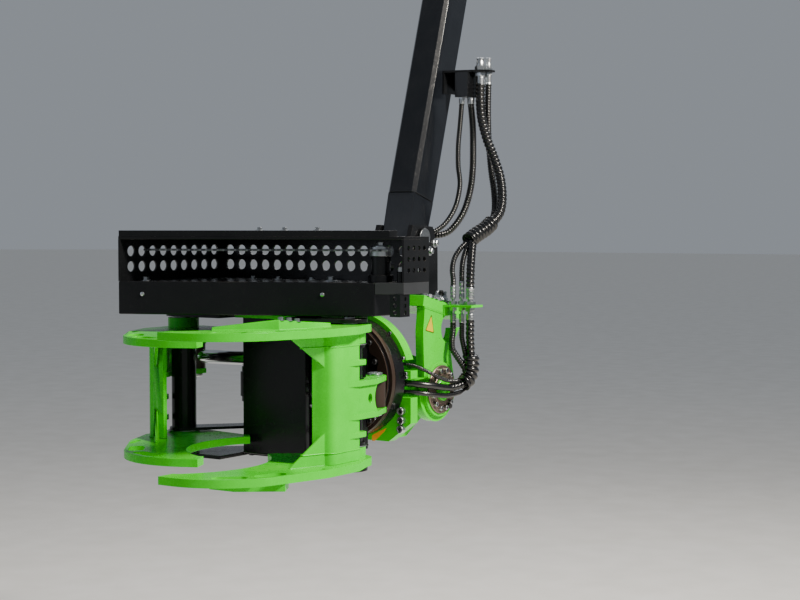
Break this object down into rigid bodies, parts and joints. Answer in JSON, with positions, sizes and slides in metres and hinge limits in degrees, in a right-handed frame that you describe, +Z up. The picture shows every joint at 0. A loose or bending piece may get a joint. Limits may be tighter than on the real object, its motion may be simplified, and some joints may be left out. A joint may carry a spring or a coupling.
{
  "type": "grapple saw felling head on its excavator stick",
  "caption": "Felling head with two grapple arms, a swing saw in a perforated guard, a slewing ring and a tilt actuator, hung from its carrier machine's stick",
  "frame": {"origin": "centre of the stick's upper pivot bore, on the middle plane of the stick", "axes": "+X to the head's right as seen from behind, -Y forwards to the arm tips, +Z up"},
  "size_m": [1.254, 2.6903, 3.1173],
  "materials": {
    "green_paint": "gloss",
    "black_paint": "semi-gloss",
    "grey_paint": "matt",
    "bare_steel": "zinc plated",
    "chromed_rod": "polished",
    "hose_rubber": "spiral guard over rubber hose"
  },
  "bodies": {
    "stick": {"stick_beam": "black_paint", "stick_tip": "black_paint", "stick_ear": "black_paint", "hose_bracket": "black_paint", "hanger": "black_paint", "hanger_pins": "bare_steel", "adapter_slab": "green_paint", "adapter_side_right": "green_paint", "adapter_side_left": "green_paint", "actuator_shaft": "bare_steel", "actuator_ends": "bare_steel", "bulkhead": "green_paint", "valve_block": "bare_steel", "stick_fittings": "bare_steel", "slab_fittings": "bare_steel", "hoses_stick": "hose_rubber", "hose_bundle": "hose_rubber", "hoses_slab": "hose_rubber", "hoses_drop": "hose_rubber", "hose_sleeve": "hose_rubber", "hoses_ring": "hose_rubber"},
    "carrier": {"actuator_barrel": "green_paint", "carrier_flange": "green_paint", "carrier_frame": "green_paint", "ring_housing": "black_paint", "slew_motor": "black_paint", "swivel": "black_paint"},
    "head": {"ring_plate": "black_paint", "frame_top": "black_paint", "frame_bottom": "black_paint", "frame_box": "black_paint", "frame_mid_plates": "black_paint", "tree_rest": "black_paint", "rest_block": "green_paint", "pivot_tubes": "black_paint", "pivot_pins": "bare_steel", "case_pads": "black_paint", "saw_case": "black_paint", "saw_guard": "black_paint", "guard_roof": "black_paint", "guard_rail": "grey_paint", "saw_motor": "black_paint", "perforated_bracket": "black_paint"},
    "arm_right": {"arm_right_top": "green_paint", "arm_right_bottom": "green_paint", "arm_right_web": "green_paint", "arm_right_lugs": "green_paint", "lever_pins_right": "bare_steel"},
    "arm_left": {"arm_left_top": "green_paint", "arm_left_bottom": "green_paint", "arm_left_web": "green_paint", "arm_left_lugs": "green_paint", "lever_pins_left": "bare_steel"},
    "barrel_right": {"cylinder_right": "black_paint"},
    "rod_right": {"rod_right": "chromed_rod"},
    "barrel_left": {"cylinder_left": "black_paint"},
    "rod_left": {"rod_left": "chromed_rod"},
    "saw": {"saw_bar": "bare_steel", "saw_holder": "bare_steel"}
  },
  "joints": [
    {"name": "tilt", "type": "hinge", "parent": "stick", "child": "carrier", "pos_m": [0, -0.80518, -2.77438], "axis": [1, 0, 0], "range_deg": [-8, 90], "deforming": ["hoses_ring"]},
    {"name": "rotate", "type": "hinge", "parent": "carrier", "child": "head", "pos_m": [0, -1.13818, -2.71238], "axis": [0, 1, 0], "continuous": true},
    {"name": "arm_right_swing", "type": "hinge", "parent": "head", "child": "arm_right", "pos_m": [0.45, -1.71018, -2.71238], "axis": [0, 0, 1], "range_deg": [-25, 50]},
    {"name": "arm_left_swing", "type": "hinge", "parent": "head", "child": "arm_left", "pos_m": [-0.45, -1.71018, -2.71238], "axis": [0, 0, -1], "range_deg": [0, 75]},
    {"name": "barrel_right_swing", "type": "hinge", "parent": "head", "child": "barrel_right", "pos_m": [-0.26, -1.47518, -2.72538], "axis": [0, 0, 1], "range_deg": [-4.64, 2.42]},
    {"name": "rod_right_slide", "type": "slide", "parent": "barrel_right", "child": "rod_right", "axis": [0.9975, -0.0702, 0], "range_m": [-0.1417, 0.0713]},
    {"name": "barrel_left_swing", "type": "hinge", "parent": "head", "child": "barrel_left", "pos_m": [0.26, -1.47518, -2.60838], "axis": [0, 0, -1], "range_deg": [-4.44, 0.2]},
    {"name": "rod_left_slide", "type": "slide", "parent": "barrel_left", "child": "rod_left", "axis": [-0.9964, -0.0851, 0], "range_m": [-0.2213, 0.001]},
    {"name": "saw_swing", "type": "hinge", "parent": "head", "child": "saw", "pos_m": [0.54735, -1.62157, -2.12538], "axis": [0, 0, 1], "range_deg": [0, 75]}
  ],
  "couplings": [
    {"joint": "barrel_right_swing", "follows": "arm_right_swing", "ratio": -0.0888},
    {"joint": "rod_right_slide", "follows": "arm_right_swing", "m_per_rad": -0.1612},
    {"joint": "barrel_left_swing", "follows": "arm_left_swing", "ratio": -0.0565},
    {"joint": "rod_left_slide", "follows": "arm_left_swing", "m_per_rad": -0.1683}
  ]
}
